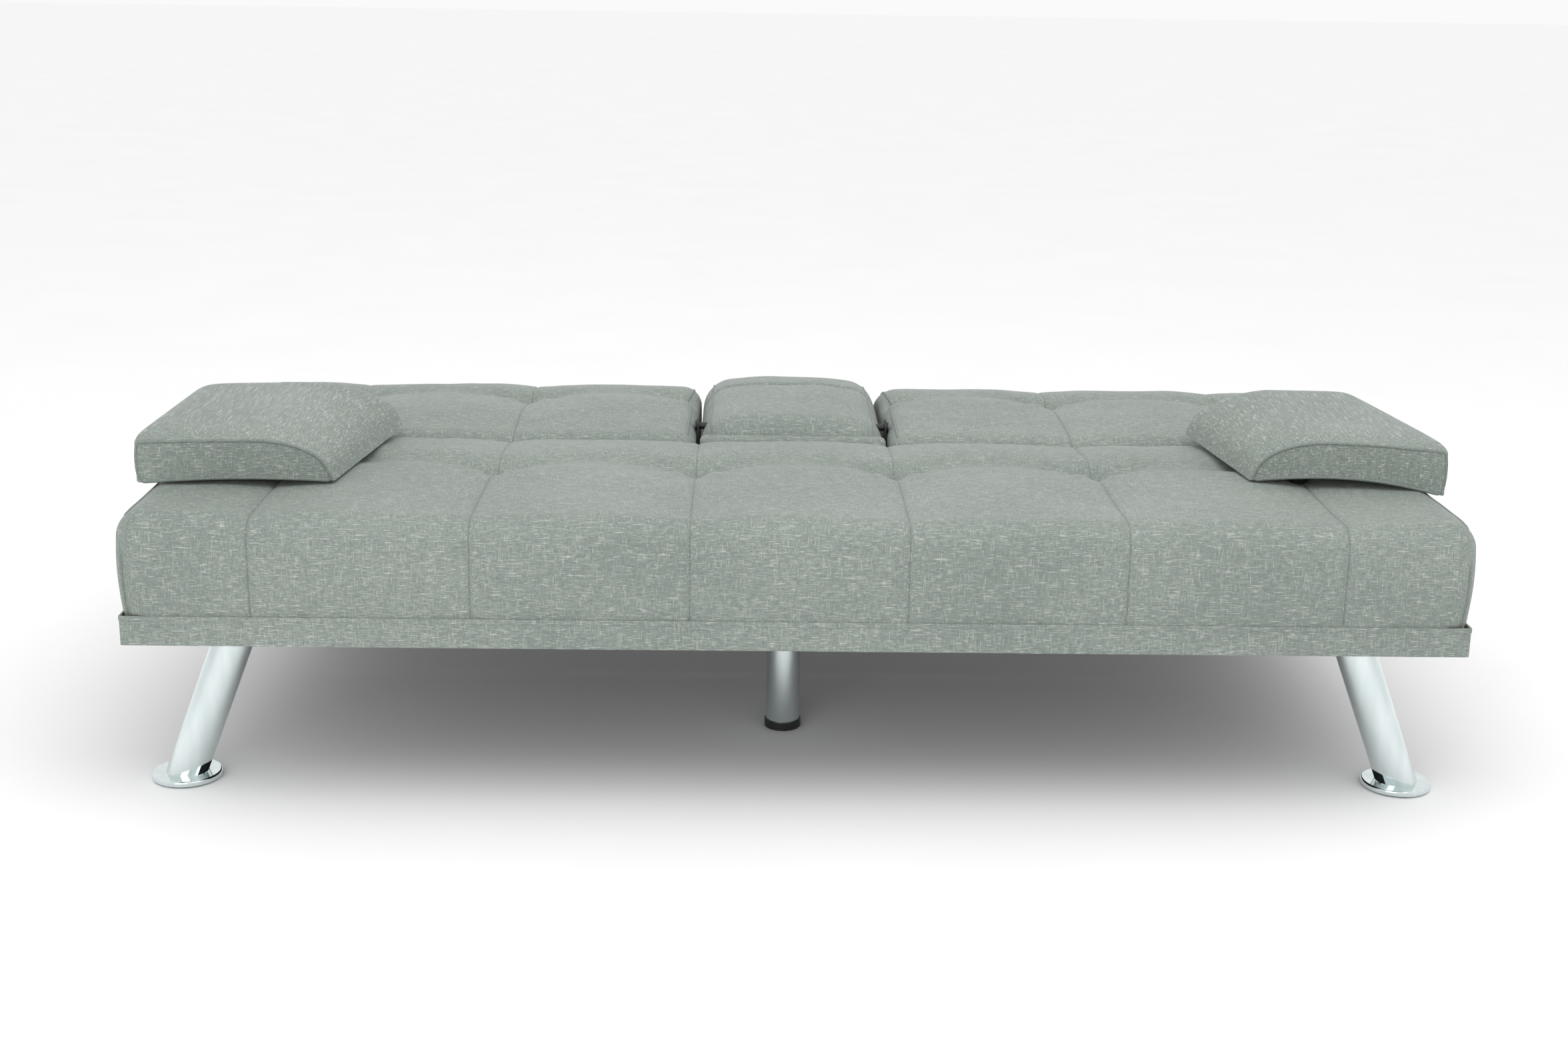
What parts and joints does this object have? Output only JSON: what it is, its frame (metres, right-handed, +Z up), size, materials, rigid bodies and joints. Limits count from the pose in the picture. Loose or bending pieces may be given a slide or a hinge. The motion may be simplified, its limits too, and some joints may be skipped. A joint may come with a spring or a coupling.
{
  "type": "futon sofa bed",
  "caption": "Armless linen futon that folds from a flat bed to a sofa, with a fold-down cup console, two loose armrest pads and splayed chrome legs.",
  "frame": {"origin": "on the floor, under the middle of the flat bed", "axes": "+Z up, the front edge faces -Y, X along the bed's length"},
  "size_m": [1.676, 0.97, 0.433],
  "materials": {
    "linen_fabric": "woven linen look, sage grey",
    "black_nonwoven": "black spun-bonded cover",
    "pine": "sawn pine",
    "chrome_tube": "polished chrome",
    "felt": "pressed felt",
    "black_plastic": "moulded black",
    "rubber": "black rubber",
    "black_steel": "black powder coat",
    "nylon": "white nylon",
    "spring_steel": "oiled spring steel",
    "zinc_steel": "zinc plated"
  },
  "bodies": {
    "seat": {"arm_bolts": "zinc_steel", "back_rest_bumpers": "rubber", "center_leg": "chrome_tube", "center_leg_cap": "black_plastic", "foot_glides": "felt", "front_corner_block_left": "pine", "front_corner_block_right": "pine", "front_leg_left": "chrome_tube", "front_leg_right": "chrome_tube", "hinge_nuts": "zinc_steel", "hinge_pawl_springs": "spring_steel", "hinge_pawls": "zinc_steel", "hinge_pivot_bolts": "zinc_steel", "hinge_seat_plate_left": "zinc_steel", "hinge_seat_plate_right": "zinc_steel", "hinge_washers": "nylon", "leg_feet": "chrome_tube", "leg_screws": "zinc_steel", "rear_arm_left": "black_steel", "rear_arm_right": "black_steel", "rear_arm_spacers": "black_steel", "rear_cross_tube": "black_steel", "rear_leg_left": "chrome_tube", "rear_leg_right": "chrome_tube", "seat_center_rail": "pine", "seat_cushion": "linen_fabric", "seat_dust_cover": "black_nonwoven", "seat_front_rail": "pine", "seat_rear_rail": "pine", "seat_side_rail_left": "pine", "seat_side_rail_right": "pine", "seat_skirt": "linen_fabric", "seat_spring_clips": "zinc_steel", "seat_springs": "spring_steel"},
    "back": {"back_cushion_left": "linen_fabric", "back_cushion_right": "linen_fabric", "back_dust_cover": "black_nonwoven", "back_frame_screws": "zinc_steel", "back_front_rail": "pine", "back_rear_rail": "pine", "back_side_rail_left": "pine", "back_side_rail_right": "pine", "back_skirt": "linen_fabric", "back_spring_clips": "zinc_steel", "back_springs": "spring_steel", "console_bay_rail_left": "pine", "console_bay_rail_right": "pine", "console_bracket_left": "black_steel", "console_bracket_right": "black_steel", "console_lip_board": "pine", "console_lip_cushion": "linen_fabric", "hinge_back_plate_left": "zinc_steel", "hinge_back_plate_right": "zinc_steel"},
    "console": {"console_cushion": "linen_fabric", "console_rod": "zinc_steel", "console_tray": "black_plastic", "cup_holder_left": "black_plastic", "cup_holder_right": "black_plastic"},
    "armrest_left": {"armrest_pad_left": "linen_fabric"},
    "armrest_right": {"armrest_pad_right": "linen_fabric"}
  },
  "joints": [
    {"name": "back_fold", "type": "hinge", "parent": "seat", "child": "back", "pos_m": [0, 0.03, 0.332], "axis": [1, 0, 0], "range_deg": [0, 75]},
    {"name": "console_fold", "type": "hinge", "parent": "back", "child": "console", "pos_m": [0, 0.1, 0.352], "axis": [1, 0, 0], "range_deg": [0, 103]},
    {"name": "armrest_left_lift", "type": "slide", "parent": "seat", "child": "armrest_left", "axis": [0, 0, 1], "range_m": [0, 0.2]},
    {"name": "armrest_right_lift", "type": "slide", "parent": "seat", "child": "armrest_right", "axis": [0, 0, 1], "range_m": [0, 0.2]}
  ]
}
